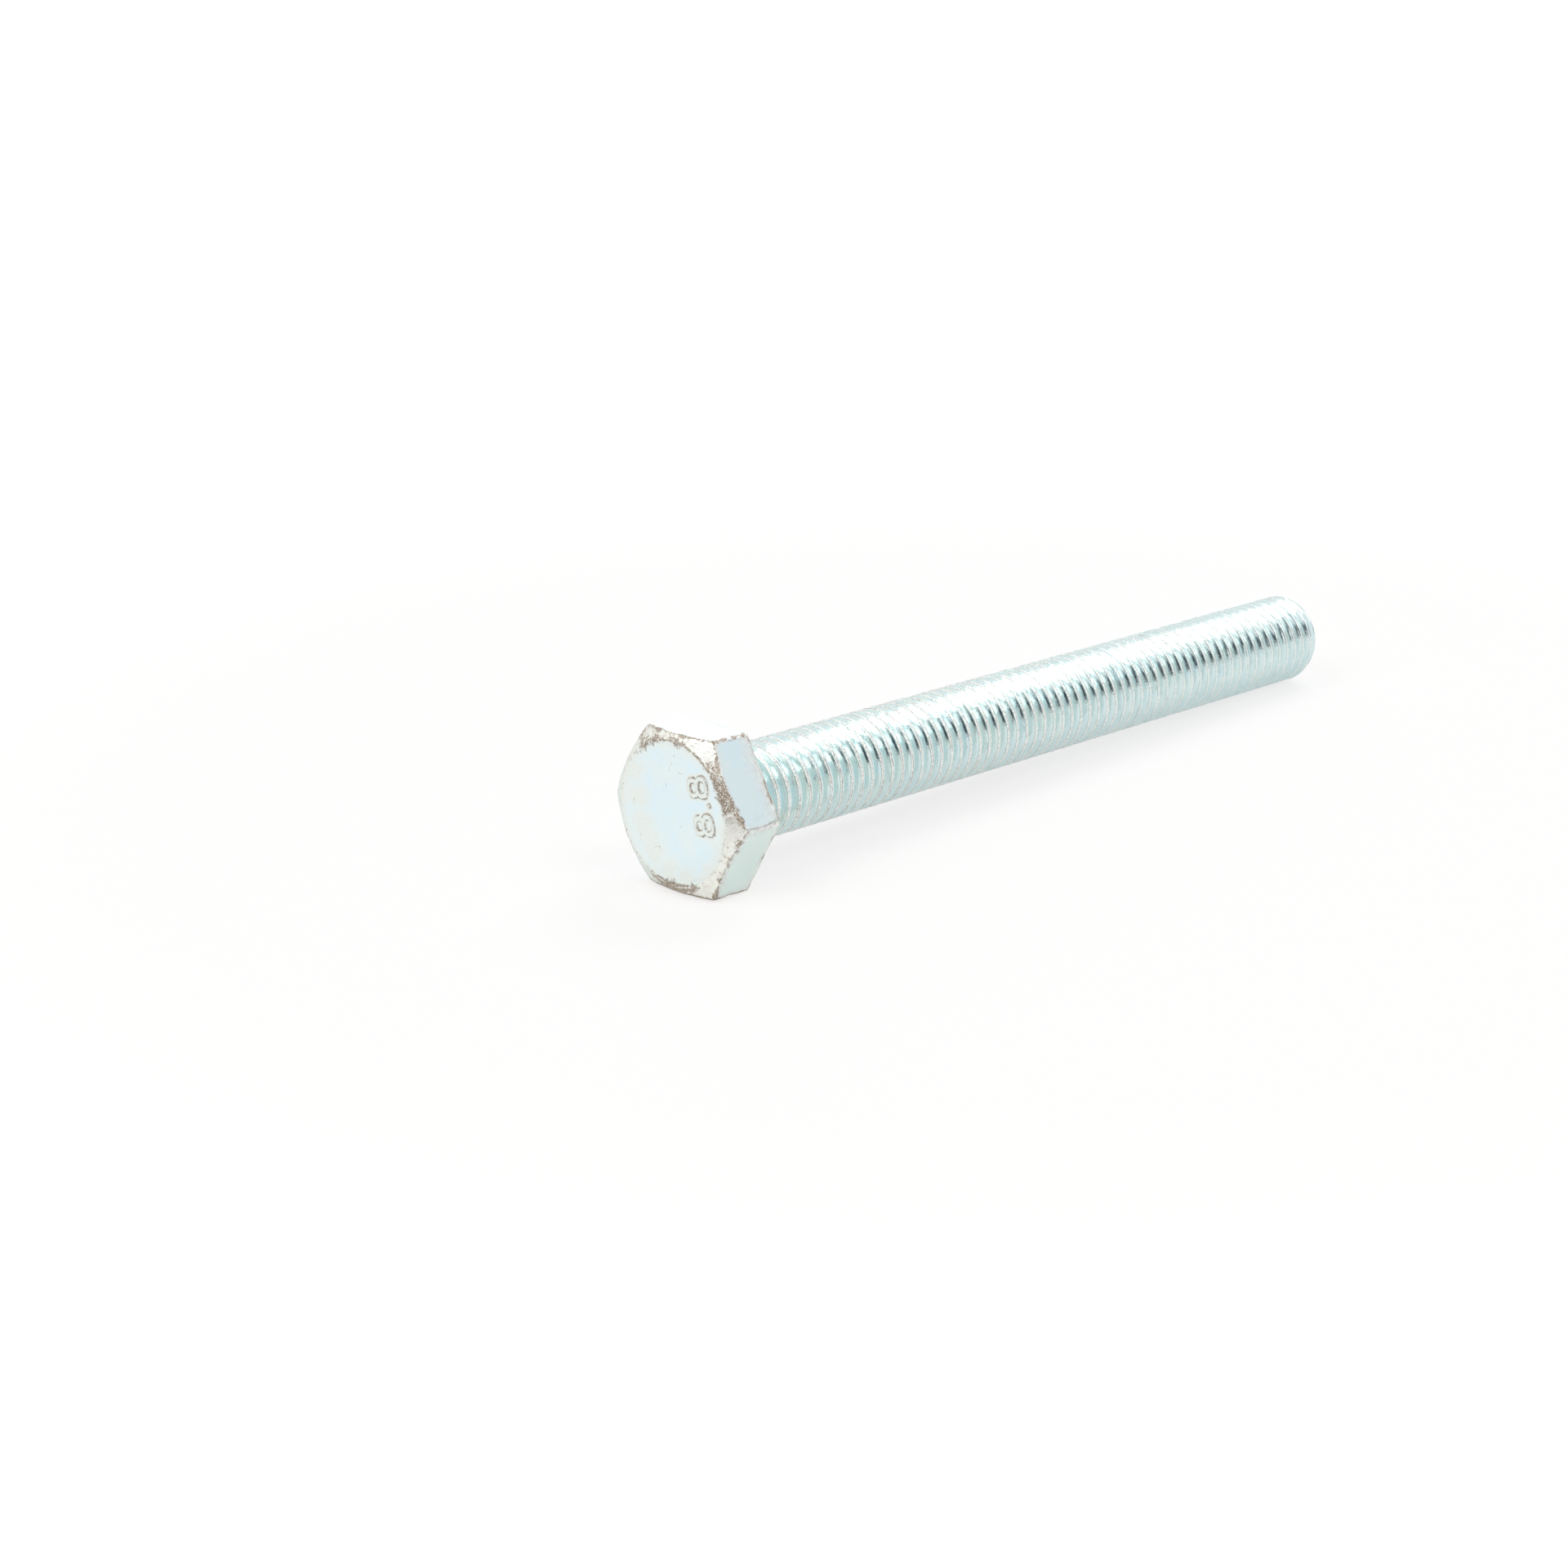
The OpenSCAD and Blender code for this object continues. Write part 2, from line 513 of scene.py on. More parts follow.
# Scratches on the head's face, as paths of x, y
SCRATCHES = (
    ((-7.3, -0.4), (-6.2, -0.1), (-5.6, 0.5), (-4.4, 0.4), (-3.9, 1.1), (-2.9, 1.0), (-2.5, 1.7)),
    ((-5.2, -0.7), (-5.1, -1.6)),
    ((1.3, -0.6), (1.2, -1.5)),
    ((4.9, 1.4), (4.4, 2.3), (4.6, 2.9)),
    ((3.2, 5.6), (4.6, 5.3)),
    ((-1.2, 6.4), (0.3, 6.6)),
)


def inside_flats(x, y):
    """How far inside the planes of the six flats each point lies, one row for each flat."""
    angles = [k * math.pi / 3 for k in range(6)]
    return np.stack([FLAT_R - x * math.cos(a) - y * math.sin(a) for a in angles])


def inside_chamfer(r, z):
    """How far inside the cone of the chamfer each point lies."""
    return (TOP_R - r) * math.sin(CHAMFER) + (z + HEAD_H) * math.cos(CHAMFER)


def head_distance(points, rounding):
    """Distance outside the head, washer face included; rounding scales how worn its edges are."""
    x, y, z = points.T
    r = np.hypot(x, y)
    outside = np.sort(-inside_flats(x, y), axis=0)
    hexagon = smooth_max(outside[-1], outside[-2], CORNER_ROUND * rounding)
    body = smooth_max(hexagon, -inside_chamfer(r, z), CHAMFER_ROUND * rounding)
    body = smooth_max(body, -(z + HEAD_H), TOP_ROUND * rounding)
    body = smooth_max(body, z + WASHER_T, BACK_ROUND * rounding)
    washer = smooth_max(r - WASHER_R, z, WASHER_ROUND)
    washer = smooth_max(washer, -z - 4 * WASHER_T, WASHER_END_ROUND)
    return smooth_min(body, washer, WASHER_ROOT_ROUND)


def settle(points, rounding, rounds=5, step=1e-4, least_steepness=0.05):
    """Moves points of the sharp head onto the worn one; returns them and the outward directions."""
    for _ in range(rounds):
        here = head_distance(points, rounding)
        ahead = [head_distance(points + step * e, rounding) for e in np.eye(3)]
        slope = np.stack([(distance - here) / step for distance in ahead], -1)
        steepness = np.maximum((slope**2).sum(-1, keepdims=True), least_steepness)
        points = points - slope * here[:, None] / steepness
    return points, slope / np.sqrt(steepness)


def edge_distance(points):
    """Distance of points on the sharp head from its nearest edge."""
    x, y, z = points.T
    gaps = [*inside_flats(x, y), inside_chamfer(np.hypot(x, y), z), z + HEAD_H, -WASHER_T - z]
    nearest = np.sort(np.abs(np.stack(gaps)), axis=0)
    return nearest[1]


def slope_distance(points):
    """Distance of points on the sharp head from the edge where the chamfer meets the flats."""
    x, y, z = points.T
    slope = np.abs(inside_chamfer(np.hypot(x, y), z))
    return np.maximum(np.abs(inside_flats(x, y)).min(axis=0), slope)


def spots(points, centres):
    """How strongly any of the round spots reaches each point, 0 to 1."""
    reach = np.zeros(len(points))
    for *middle, size, strength in centres:
        away = np.linalg.norm(points[:, : len(middle)] - np.array(middle), axis=1)
        reach = np.maximum(reach, strength * bell(away, size))
    return reach


def dent(points, outward, rng):
    """Presses small dents into the head, most of them at its edges."""
    centres = points[rng.sample(range(len(points)), DENTS)]
    for centre in centres:
        size, depth = rng.uniform(*DENT_SIZES), rng.uniform(*DENT_DEPTHS)
        away = np.linalg.norm(points - centre, axis=1) / size
        press = depth * np.maximum(1 - away**2, 0) ** 2
        points = points - outward * press[:, None]
    return points


def figure_distance(s, t):
    """Distance from the middle line of a figure 8, drawn upright round 0, 0."""
    loops = []
    for half_width, half_height, middle, mean_r in LOOPS:
        across, up = np.abs(s / half_width), np.abs((t - middle) / half_height)
        radius = (across**LOOP_POWER + up**LOOP_POWER) ** (1 / LOOP_POWER)
        loops.append(np.abs(radius - 1) * mean_r)
    return np.minimum(*loops)


def number_distance(x, y):
    """Distance from the strokes of the strength number 8.8 on the head's face."""
    dx, dy = x - NUMBER_MIDDLE[0], y - NUMBER_MIDDLE[1]
    s = -dx * math.cos(NUMBER_LEAN) + dy * math.sin(NUMBER_LEAN)
    t = dx * math.sin(NUMBER_LEAN) + dy * math.cos(NUMBER_LEAN)
    point = np.hypot(s, t + POINT_DROP)
    figures = [figure_distance(s - shift, t) for shift in (-FIGURE_SHIFT, FIGURE_SHIFT)]
    return np.minimum(point, np.minimum(*figures))


def scratch_distance(x, y):
    """Distance from the nearest scratch on the head's face."""
    nearest = np.full(np.shape(x), math.inf)
    for path in SCRATCHES:
        for (x0, y0), (x1, y1) in zip(path, path[1:]):
            run = math.hypot(x1 - x0, y1 - y0)
            along = np.clip(((x - x0) * (x1 - x0) + (y - y0) * (y1 - y0)) / run**2, 0, 1)
            away = np.hypot(x - x0 - along * (x1 - x0), y - y0 - along * (y1 - y0))
            nearest = np.minimum(nearest, away)
    return nearest


def edge_lines(points, on_face, on_chamfer):
    """Dark lines along the head's edges, weaker at the right corner; towards the bottom, where the
    head meets the floor, painted contact shadow makes them wider and darker.
    """
    x, y, z = points.T
    r = np.hypot(x, y)
    # Painted contact shadow: near the bottom of the head, where it rests on the floor, the edge
    # lines grow wider and darker
    lowest = smoothstep(x, 7, 9)
    upper = smoothstep(-x, -2, 0)
    near_rim = bell(r - TOP_R, 0.17) * smoothstep(-z - HEAD_H, -0.3, -0.1)
    faint_rim = np.maximum(smoothstep(x, -3, 0), smoothstep(y, 1, 4))
    near_corner = smoothstep(-np.hypot(x, y + CORNER_R), -2.0, -0.8)
    lines = bell(edge_distance(points), 0.13 + 0.25 * lowest) * (0.85 + 0.75 * lowest)
    lines = lines * (1 - 0.6 * near_rim * faint_rim) * (1 - 0.4 * near_corner * (1 - on_chamfer))
    slope_edge = (0.45 + 0.35 * upper) * bell(slope_distance(points), 0.2 + 0.15 * upper)
    return np.maximum(lines, (1 - on_face) * slope_edge)


def back_crack(x, z, side):
    """Two dark lines close to the back edge of the upper right flat."""
    across = bell(z + 1.15 + 0.05 * x, CRACK_WIDTH)
    along = np.maximum(0.7 * bell(x + 7.2, 1.1, 4), bell(x + 3.4, 1.7, 4))
    return (side == WORN_BACK_SIDE) * across * along


def head_finish(points):
    """Shares of each finish at points of the sharp head."""
    x, y, z = points.T
    r = np.hypot(x, y)
    side = np.round(np.degrees(np.arctan2(y, x)) / 60) % 6
    on_face = smoothstep(-z - HEAD_H, -0.35, -0.1) * smoothstep(TOP_R - r, -0.05, 0.15)
    over_chamfer = -inside_chamfer(r, z) / math.cos(CHAMFER)
    on_chamfer = smoothstep(over_chamfer, -0.12, -0.04) * (1 - on_face)
    on_flats = (1 - on_face) * (1 - on_chamfer)

    edge_reach = EDGE_REACH + EDGE_REACH_MORE * (side == WORN_EDGE_SIDE)
    near_edge = bell(edge_distance(points), edge_reach)
    near_back = BACK_SHARE * bell(z, BACK_REACH + BACK_REACH_MORE * (side == WORN_BACK_SIDE))
    rubbed = spots(points, [(*zone, 1.0) for zone in RUBBED])
    to_number = number_distance(x, y)
    near_number = smoothstep(-to_number, *NUMBER_REACH)
    rubbed_face = on_face * np.maximum(rubbed, near_number)

    # Painted shade round the foot of the raised number's strokes
    outline = bell(to_number - STROKE / 2 - OUTLINE_GAP, OUTLINE_WIDTH)
    outline = OUTLINE_SHARE * on_face * outline
    scratches = SCRATCH_SHARE * on_face * bell(scratch_distance(x, y), SCRATCH_WIDTH)
    crack = CRACK_SHARE * back_crack(x, z, side)
    lines = edge_lines(points, on_face, on_chamfer)
    stain = spots(points, STAINS) * (0.6 + 0.5 * near_edge) + 0.35 * near_edge + 0.12 * on_chamfer
    return {
        "line": np.maximum.reduce([lines, crack, outline, scratches]),
        "forged": np.maximum(on_chamfer, (1 - on_face) * bell(z, SKIN_REACH)),
        "cream": np.maximum.reduce([on_chamfer, rubbed_face, near_edge, near_back]),
        "stain": np.clip(stain, 0, MOST_STAIN),
        "flat": on_flats,
        "mint": on_flats * np.isin(side, MINT_SIDES),
    }


def head_angles():
    """Angles of the head's columns, closer together towards the six corners."""
    per_side = HEAD_COLUMNS // 6
    angles = []
    for side in range(6):
        for i in range(per_side):
            u = 2 * i / per_side - 1
            warped = u + 0.5 * math.sin(math.pi * u) / math.pi
            angles.append(math.radians(60 * side + 30 * warped))
    return np.array(angles)


def head_rings():
    """Points of each ring of the sharp head, from the bearing face to the top."""
    angles = head_angles()
    off_flat = (angles + math.pi / 6) % (math.pi / 3) - math.pi / 6
    hexagon = FLAT_R / np.cos(off_flat)
    chamfer_z = -HEAD_H + (hexagon - TOP_R) * math.tan(CHAMFER)
    level = 0 * angles
    rings = [(level + r, level) for r in BEARING_RADII]
    rings += [(level + WASHER_R, level - z) for z in WASHER_HEIGHTS]
    rings += [(WASHER_R + (hexagon - WASHER_R) * t, level - WASHER_T) for t in BACK_SHARES]
    rings += [(hexagon, -WASHER_T + (chamfer_z + WASHER_T) * t) for t in FLAT_SHARES]
    rings += [
        (hexagon + (TOP_R - hexagon) * t, chamfer_z + (-HEAD_H - chamfer_z) * t)
        for t in CHAMFER_SHARES
    ]
    rings += [(level + r, level - HEAD_H) for r in TOP_RADII]
    return [np.stack([r * np.cos(angles), r * np.sin(angles), z], -1) for r, z in rings]


def face_points():
    """Points inside the face's rim: close together at the number, wider apart elsewhere."""
    rng = random.Random(5)
    found = []
    for spacing, wanted in ((CLOSE_SPACING, True), (WIDE_SPACING, False)):
        count = int(FACE_RIM / spacing) + 1
        shake = SHAKE * spacing
        for i in range(-count, count + 1):
            for j in range(-count, count + 1):
                x, y = (i + 0.5 * (j % 2)) * spacing, j * spacing * 0.87
                close = number_distance(x, y) < CLOSE_TO_STROKE
                close = close or scratch_distance(x, y) < CLOSE_TO_SCRATCH
                if close == wanted and math.hypot(x, y) < FACE_RIM - 0.13:
                    moved = x + rng.uniform(-shake, shake), y + rng.uniform(-shake, shake)
                    found.append(Vector(moved))
    return found


def face_relief(points):
    """The face raised by the number and left slightly uneven by forging."""
    x, y, _ = points.T
    from_edge = STROKE / 2 - number_distance(x, y)
    raised = NUMBER_HEIGHT * smoothstep(from_edge, -0.13, 0.02)
    inside = smoothstep(-np.hypot(x, y), -FACE_RIM, -FACE_RIM + 1)
    uneven = FORGING_HEIGHT * field(points, "forging") + SKIN_HEIGHT * field(points, "skin")
    points = points.copy()
    points[:, 2] -= raised + inside * uneven
    return points


def add_head(shell, bearing_ring):
    """Bearing face, washer face, hexagon, chamfer and top."""
    rng = random.Random(3)
    sharp = np.concatenate(head_rings())
    rounding = 1.0 + ROUNDING_SPREAD * field(sharp, "rounding")
    worn, outward = settle(sharp, np.clip(rounding, *ROUNDING_LIMITS))
    worn = dent(worn, outward, rng)
    near_edge = bell(edge_distance(sharp), EDGE_REACH)
    worn -= outward * (EDGE_ROUGHNESS * field(sharp, "edge") * near_edge)[:, None]
    indices = shell.add(worn, **head_finish(sharp))
    ring = bearing_ring
    for start in range(0, len(indices), HEAD_COLUMNS):
        after = indices[start : start + HEAD_COLUMNS]
        shell.join(ring, after)
        ring = after
    add_face(shell, ring)


def add_face(shell, rim):
    """Fills the face inside the given ring."""
    border = [Vector(shell.points[i][:2]) for i in rim]
    edges = [(i, (i + 1) % len(rim)) for i in range(len(rim))]
    flat, _, faces, sources, _, _ = delaunay_2d_cdt(border + face_points(), edges, [], 0, 1e-6)
    inner = [i for i, source in enumerate(sources) if min(source) >= len(rim)]
    points = face_relief(np.array([(flat[i].x, flat[i].y, -HEAD_H) for i in inner]))
    new = dict(zip(inner, shell.add(points, **head_finish(points))))
    for i, source in enumerate(sources):
        if i not in new:
            new[i] = rim[min(source)]
    for corners in faces:
        shell.face(*(new[i] for i in corners))


def link(name, data):
    """A new object in the scene."""
    thing = bpy.data.objects.new(name, data)
    bpy.context.scene.collection.objects.link(thing)
    return thing


def build_bolt():
    """The whole bolt as one closed mesh, with the finish at its points as attributes."""
    shell = Shell()
    neck = add_shank(shell)
    add_head(shell, add_neck(shell, neck))
    mesh = bpy.data.meshes.new("bolt")
    mesh.from_pydata([TO_ROW @ Vector(p) for p in shell.points], [], shell.faces)
    for name, values in shell.finish.items():
        mesh.attributes.new(name, "FLOAT", "POINT").data.foreach_set("value", values)
    work = bmesh.new()
    work.from_mesh(mesh)
    bmesh.ops.recalc_face_normals(work, faces=work.faces)
    work.to_mesh(mesh)
    work.free()
    mesh.shade_smooth()
    return link("bolt", mesh)


# ----------------------------------------------------------------------------------------- material
class Nodes:
    """Short calls that add nodes to a material or a world.

    An input is given by its name, with _ for each space, or by its number after a _.
    """

    def __init__(self, owner):
        owner.use_nodes = True
        self.tree = owner.node_tree
        self.tree.nodes.clear()

    def add(self, kind, settings=(), **inputs):
        node = self.tree.nodes.new(kind)
        for name, value in dict(settings).items():
            setattr(node, name, value)
        for name, value in inputs.items():
            self.feed(node, name, value)
        return node

    def feed(self, node, name, value):
        key = int(name[1:]) if name[0] == "_" else name.replace("_", " ")
        socket = node.inputs[key]
        if isinstance(value, bpy.types.NodeSocket):
            self.tree.links.new(value, socket)
        else:
            socket.default_value = value

    def math(self, operation, *values):
        inputs = {f"_{i}": value for i, value in enumerate(values)}
        return self.add("ShaderNodeMath", {"operation": operation}, **inputs).outputs[0]

    def total(self, *terms):
        """Sum of values, each times its weight."""
        parts = [self.math("MULTIPLY", value, weight) for value, weight in terms]
        result = parts[0]
        for part in parts[1:]:
            result = self.math("ADD", result, part)
        return result

    def ramp(self, value, low, high, start=0.0, end=1.0):
        """From start to end, smoothly, while the value goes from low to high."""
        settings = {"interpolation_type": "SMOOTHSTEP"}
        inputs = {"_0": value, "_1": low, "_2": high, "_3": start, "_4": end}
        return self.add("ShaderNodeMapRange", settings, **inputs).outputs[0]

    def noise(self, place, size, detail=3.0, rough=0.55):
        """Noise from 0 to 1 with lumps of about that many millimetres."""
        inputs = {"Scale": 1 / (size * MM), "Detail": detail, "Roughness": rough}
        return self.add("ShaderNodeTexNoise", Vector=place, **inputs).outputs["Fac"]

    def blend(self, share, first, second):
        """Colour between two colours."""
        node = self.add("ShaderNodeMix", {"data_type": "RGBA"}, _0=share)
        for name, colour in (("_6", first), ("_7", second)):
            self.feed(node, name, (*colour, 1) if isinstance(colour, tuple) else colour)
        return node.outputs[2]

    def attribute(self, name):
        return self.add("ShaderNodeAttribute", {"attribute_name": name}).outputs["Fac"]

    def floor_look(self, reflected, glow, strength):
        """A matt surface that also glows by itself."""
        matt = self.add("ShaderNodeBsdfDiffuse", Color=(*reflected, 1))
        light = self.add("ShaderNodeEmission", Color=(*glow, 1), Strength=strength)
        return self.add("ShaderNodeAddShader", _0=matt.outputs[0], _1=light.outputs[0])

    def switch(self, share, first, second):
        """One shader or the other."""
        inputs = {"_0": share, "_1": first.outputs[0], "_2": second.outputs[0]}
        return self.add("ShaderNodeMixShader", **inputs)


# Blue film on the face, on the flats and on the thread, each between two colours
FACE_BLUE = (0.755, 0.885, 0.935)
FACE_PALE = (0.80, 0.89, 0.89)
FLAT_BLUE = (0.645, 0.785, 0.84)
FLAT_PALE = (0.69, 0.785, 0.79)
MINT = (0.76, 0.84, 0.80)
THREAD_GREEN = (0.66, 0.80, 0.79)
THREAD_BLUE = (0.63, 0.785, 0.81)

# Where the film is rubbed: on the face, in blushes on the flats, on forged skin and on crests
CREAM = (0.84, 0.87, 0.82)
BLUSH = (0.70, 0.655, 0.66)
FORGED_CREAM = (0.95, 0.94, 0.84)
FORGED_PINK = (0.89, 0.86, 0.79)
CREST = (0.88, 0.89, 0.86)
CREST_PINK = (0.69, 0.67, 0.63)

# Dirt in pits and lines of the head, between two colours, and on the thread; the head's lines in
# these colours also paint shade at its bottom edges and round the foot of the raised number
BROWN = (0.19, 0.13, 0.085)
TAN = (0.62, 0.51, 0.41)
GREY = (0.42, 0.42, 0.42)

# Colour of the film where it is seen at a glancing angle
EDGE_TINT = (0.78, 0.88, 0.90, 1)

# Noises of the material: lumps in millimetres, detail and roughness
BROAD = (3.2, 2.0)
FINE = (0.9, 4.0)
GRAIN = (0.26, 3.0, 0.65)
SPECK = (0.42, 4.0, 0.7)
SPARK = (0.19, 2.0, 0.6)
STREAK = (0.5, 4.0, 0.7)

# Streaks on the flats run round the head and along it, so their noise is drawn out there
STREAK_SCALE = (1.0, 0.12, 0.12)

# Share of fine and grain noise in how far the film is rubbed, less their usual sum
RUB_FINE, RUB_GRAIN, RUB_USUAL = 0.9, 0.6, 0.75

# Values between which a share of the material grows from none to full, or to another share: broad
# patches of the film, streaks, how creamy it is, pink patches of forged skin, blushes, pink grains
# on crests and gaps in them, pits and the grains they are made of, lines, and tan grains in the
# dirt and in the painted shade
PATCHES = (0.35, 0.65)
STREAKS = (0.3, 0.7)
CREAMY = (0.1, 1.1, 0.0, 0.9)
PINK_SKIN = (0.4, 0.6)
BLUSHES = (0.38, 0.54)
PINK_GRAINS = (0.46, 0.60)
CREST_GAPS = (0.2, 0.5)
PITS = (0.67, 0.80)
PIT_GRAINS = (0.64, 0.56)
LINES = (0.60, 0.74)
TAN_GRAINS = (0.36, 0.60)

ROUGHNESS_HEAD, ROUGHNESS_THREAD = 0.12, 0.09
BUMP_STRENGTH = 0.6


def zinc_plate():
    """Blue passivated zinc: streaky film, creamy where rubbed, brown specks, lines along edges;
    at the head's bottom and round the raised number the lines are partly painted shade.
    """
    material = bpy.data.materials.new("zinc_plate")
    n = Nodes(material)
    place = n.add("ShaderNodeTexCoord").outputs["Object"]
    share = {name: n.attribute(name) for name in FINISHES}
    fine, grain, speck, spark = (n.noise(place, *look) for look in (FINE, GRAIN, SPECK, SPARK))
    broad = n.ramp(n.noise(place, *BROAD), *PATCHES)

    # Film
    drawn_out = n.add("ShaderNodeMapping", Vector=place, Scale=STREAK_SCALE).outputs[0]
    streaks = n.ramp(n.noise(drawn_out, *STREAK), *STREAKS)
    flat_film = n.blend(n.total((broad, 0.5), (streaks, 0.5)), FLAT_BLUE, FLAT_PALE)
    flat_film = n.blend(share["mint"], flat_film, MINT)
    film = n.blend(share["flat"], n.blend(broad, FACE_BLUE, FACE_PALE), flat_film)
    film = n.blend(share["thread"], film, n.blend(broad, THREAD_GREEN, THREAD_BLUE))

    # Rubbed creamy
    rubbed = n.total((fine, RUB_FINE), (grain, RUB_GRAIN), (share["cream"], 1.0))
    rubbed = n.math("SUBTRACT", rubbed, RUB_USUAL)
    creamy = n.ramp(rubbed, *CREAMY)
    forged = n.blend(n.ramp(fine, *PINK_SKIN), FORGED_CREAM, FORGED_PINK)
    worn_flat = n.blend(n.ramp(speck, *BLUSHES), CREAM, BLUSH)
    worn_film = n.blend(share["flat"], CREAM, worn_flat)
    colour = n.blend(creamy, film, n.blend(share["forged"], worn_film, forged))
    crest = n.blend(n.ramp(spark, *PINK_GRAINS), CREST, CREST_PINK)
    crest_share = n.math("MULTIPLY", share["crest"], n.ramp(fine, *CREST_GAPS))
    colour = n.blend(crest_share, colour, crest)

    # Dirt in pits and along lines, and painted shade along the head's bottom edges and round the
    # number
    pitted = n.total((speck, 0.6), (fine, 0.35), (share["stain"], 0.30))
    pits = n.math("MULTIPLY", n.ramp(pitted, *PITS), n.ramp(spark, *PIT_GRAINS))
    lined = n.total((share["line"], 0.38), (speck, 0.8))
    any_line = n.math("GREATER_THAN", share["line"], 0.02)
    lines = n.math("MULTIPLY", n.ramp(lined, *LINES), any_line)
    dirt_and_shade = n.math("MAXIMUM", pits, lines)
    dirt_and_shade_colour = n.blend(n.ramp(spark, *TAN_GRAINS), BROWN, TAN)
    dirt_and_shade_colour = n.blend(share["thread"], dirt_and_shade_colour, GREY)
    colour = n.blend(n.math("MULTIPLY", dirt_and_shade, 0.85), colour, dirt_and_shade_colour)

    smooth = n.ramp(share["thread"], 0, 1, ROUGHNESS_HEAD, ROUGHNESS_THREAD)
    rough = n.total((smooth, 1.0), (grain, 0.08), (creamy, 0.16), (dirt_and_shade, 0.25))
    metallic = n.math("SUBTRACT", 1.0, n.math("MULTIPLY", dirt_and_shade, 0.4))

    # Relief in millimetres: coarse on forged skin, less on crests and little on the thread
    coarse = n.total((speck, 0.12), (grain, 0.08))
    coarse_share = n.math("MAXIMUM", share["forged"], n.math("MULTIPLY", share["crest"], 0.7))
    on_thread = n.math("MULTIPLY", share["thread"], 0.10)
    coarse_share = n.math("MAXIMUM", coarse_share, on_thread)
    height = n.total(
        (grain, 0.008),
        (fine, 0.018),
        (coarse, coarse_share),
        (n.math("MULTIPLY", spark, share["crest"]), 0.13),
        (dirt_and_shade, -0.05),
    )
    bump = n.add("ShaderNodeBump", Height=height, Strength=BUMP_STRENGTH, Distance=MM)

    shader = n.add("ShaderNodeBsdfPrincipled", Base_Color=colour, Roughness=rough)
    n.feed(shader, "Normal", bump.outputs[0])
    n.feed(shader, "Specular Tint", EDGE_TINT)
    n.feed(shader, "Metallic", metallic)
    n.add("ShaderNodeOutputMaterial", Surface=shader.outputs[0])
    return material


# ------------------------------------------------------------------------------------------- studio
FLOOR_SIZE = 12.0

# Floor: the colour from which light is scattered onto the bolt, and the colour, the colour of the
# glow and its strength as the camera sees it and as metal mirrors it
FLOOR_LIT = (0.8, 0.8, 0.8)
FLOOR_SEEN = ((0.40, 0.405, 0.41), (1, 0.985, 0.975))
FLOOR_MIRRORED = ((0.65, 0.65, 0.65), (1, 1, 1), 0.47)

# The glow that the camera sees grows between two distances from the bolt, up to full white
GLOW_GROWS = (0.10, 0.45, 0.675, 1.0)

FILL_LIGHT = 0.5
WHITE_ROUND = 1.0

# Soft lamps, all at one distance: azimuth, elevation, width, height and power
LAMP_DISTANCE = 1.2
LAMPS = {
    "key": (-98.5, 45.5, 0.70, 0.79, 2.65),
    "right": (102, 47, 0.66, 0.55, 2.1),
    "back": (144, 18, 0.42, 0.24, 0.55),
    "front": (5, 49, 0.60, 0.56, 1.7),
}

# Cards that are seen only in the metal, like the dark places round a white table in a studio:
# azimuths and elevations between which they reach, distance, colour and glow
CARD_STEPS = 16
CARDS = {
    "dark_card": ((-55, -112), (0, 20.5), 0.28, (0.45, 0.70, 1.0), 0.05),
    "dusk_card": ((-55, -112), (20.5, 24), 0.28, (0.70, 0.87, 1.0), 0.45),
    "pale_card": ((48, 84), (35, 50), 1.1, (0.93, 0.98, 1.0), 0.70),
    "grey_card": ((26, 72), (3, 18), 1.1, (0.92, 0.97, 1.0), 0.42),
}

# Camera: where it looks from, and its aim from the middle of the box, in metres
LOOK_AZIMUTH, LOOK_ELEVATION = -44.532, 18.373
ROLL = math.radians(-1.365)
LENS, SENSOR = 72.317, 36.0
AIM_FROM_MIDDLE = Vector((-0.02277, 0.01812, -0.00919))
DISTANCE = 0.39886
CLIP_START = 0.01


def seen_directly(n):
    """1 for rays from the camera and those that metal mirrors, 0 for light that is scattered."""
    path = n.add("ShaderNodeLightPath")
    seen = n.math("MAXIMUM", path.outputs["Is Camera Ray"], path.outputs["Is Glossy Ray"])
    return n.math("MAXIMUM", seen, path.outputs["Is Transmission Ray"])


def white_floor():
    """Floor that looks white where light reaches it and still takes the bolt's shadow."""
    material = bpy.data.materials.new("floor")
    n = Nodes(material)
    lit = n.add("ShaderNodeBsdfDiffuse", Color=(*FLOOR_LIT, 1))
    place = n.add("ShaderNodeTexCoord").outputs["Object"]
    away = n.add("ShaderNodeVectorMath", {"operation": "LENGTH"}, _0=place).outputs["Value"]
    seen = n.floor_look(*FLOOR_SEEN, n.ramp(away, *GLOW_GROWS))
    glossy = n.add("ShaderNodeLightPath").outputs["Is Glossy Ray"]
    shown = n.switch(glossy, seen, n.floor_look(*FLOOR_MIRRORED))
    mixed = n.switch(seen_directly(n), lit, shown)
    n.add("ShaderNodeOutputMaterial", Surface=mixed.outputs[0])
    return material


def add_floor():
    half = FLOOR_SIZE / 2
    corners = [(-half, -half, 0), (half, -half, 0), (half, half, 0), (-half, half, 0)]
    mesh = bpy.data.meshes.new("floor")
    mesh.from_pydata(corners, [], [(0, 1, 2, 3)])
    mesh.materials.append(white_floor())
    link("floor", mesh)


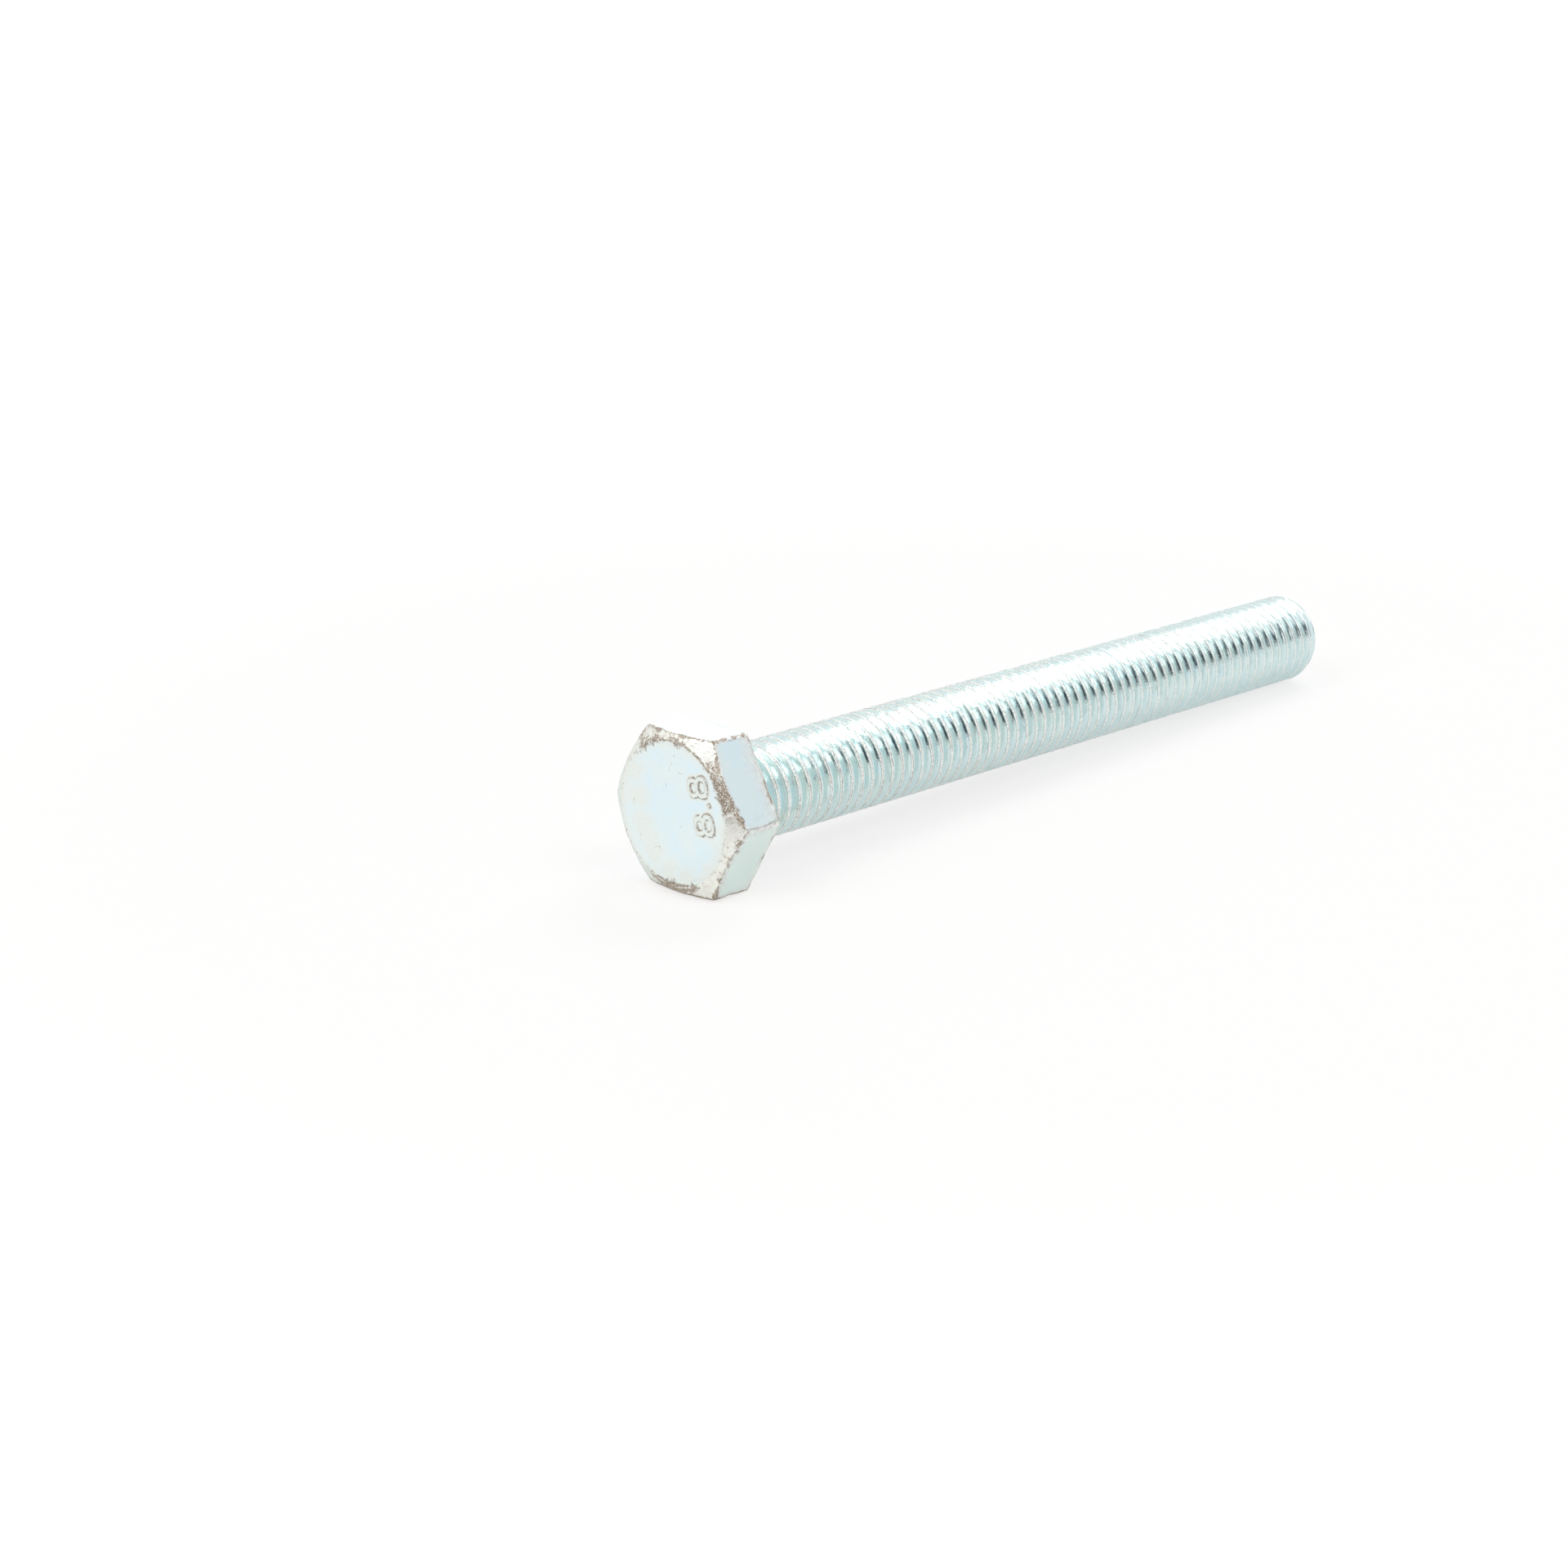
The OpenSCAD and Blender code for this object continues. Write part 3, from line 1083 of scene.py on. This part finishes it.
def add_world():
    """White all round for the eye and for mirrored rays, and a soft fill for the rest."""
    world = bpy.data.worlds.new("studio")
    n = Nodes(world)
    fill = n.add("ShaderNodeBackground", Color=(1, 1, 1, 1), Strength=FILL_LIGHT)
    white = n.add("ShaderNodeBackground", Color=(1, 1, 1, 1), Strength=WHITE_ROUND)
    mixed = n.switch(seen_directly(n), fill, white)
    n.add("ShaderNodeOutputWorld", Surface=mixed.outputs[0])
    bpy.context.scene.world = world


def direction(azimuth, elevation):
    """Unit vector; azimuth 0 is -Y and 90 is +X, as a camera goes round the part."""
    a, e = math.radians(azimuth), math.radians(elevation)
    return Vector((math.sin(a) * math.cos(e), -math.cos(a) * math.cos(e), math.sin(e)))


def add_lamp(name, azimuth, elevation, width, height, power):
    light = bpy.data.lights.new(name, "AREA")
    light.shape = "RECTANGLE"
    light.size, light.size_y = width, height
    light.energy = power
    lamp = link(name, light)
    lamp.location = direction(azimuth, elevation) * LAMP_DISTANCE
    lamp.rotation_euler = (-lamp.location).to_track_quat("-Z", "Y").to_euler()


def add_card(name, azimuths, elevations, distance, colour, glow):
    """A curved card of one colour, hidden from the camera and casting no shadow."""
    points = []
    for i in range(CARD_STEPS + 1):
        azimuth = azimuths[0] + (azimuths[1] - azimuths[0]) * i / CARD_STEPS
        points += [direction(azimuth, elevation) * distance for elevation in elevations]
    faces = [(2 * i, 2 * i + 1, 2 * i + 3, 2 * i + 2) for i in range(CARD_STEPS)]
    mesh = bpy.data.meshes.new(name)
    mesh.from_pydata(points, [], faces)
    card = link(name, mesh)
    material = bpy.data.materials.new(name)
    n = Nodes(material)
    shader = n.add("ShaderNodeEmission", Color=(*colour, 1), Strength=glow)
    n.add("ShaderNodeOutputMaterial", Surface=shader.outputs[0])
    mesh.materials.append(material)
    card.visible_camera = False
    card.visible_diffuse = False
    card.visible_shadow = False


def add_camera():
    middle = (Vector(cad_low) + Vector(cad_high)) / 2
    back = direction(LOOK_AZIMUTH, LOOK_ELEVATION)
    camera = link("camera", bpy.data.cameras.new("camera"))
    camera.data.lens = LENS
    camera.data.sensor_width = SENSOR
    camera.data.clip_start = CLIP_START
    place = Matrix.Translation(middle + AIM_FROM_MIDDLE + back * DISTANCE)
    turn = (-back).to_track_quat("-Z", "Y").to_matrix() @ Matrix.Rotation(ROLL, 3, "Z")
    camera.matrix_world = place @ turn.to_4x4()
    bpy.context.scene.camera = camera


def main():
    add_camera()
    bolt = build_bolt()
    bolt.data.materials.append(zinc_plate())
    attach(bolt, "root")
    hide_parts("hex_bolt")
    add_floor()
    add_world()
    for name, lamp in LAMPS.items():
        add_lamp(name, *lamp)
    for name, card in CARDS.items():
        add_card(name, *card)
    bpy.context.scene.view_settings.view_transform = "Standard"


main()
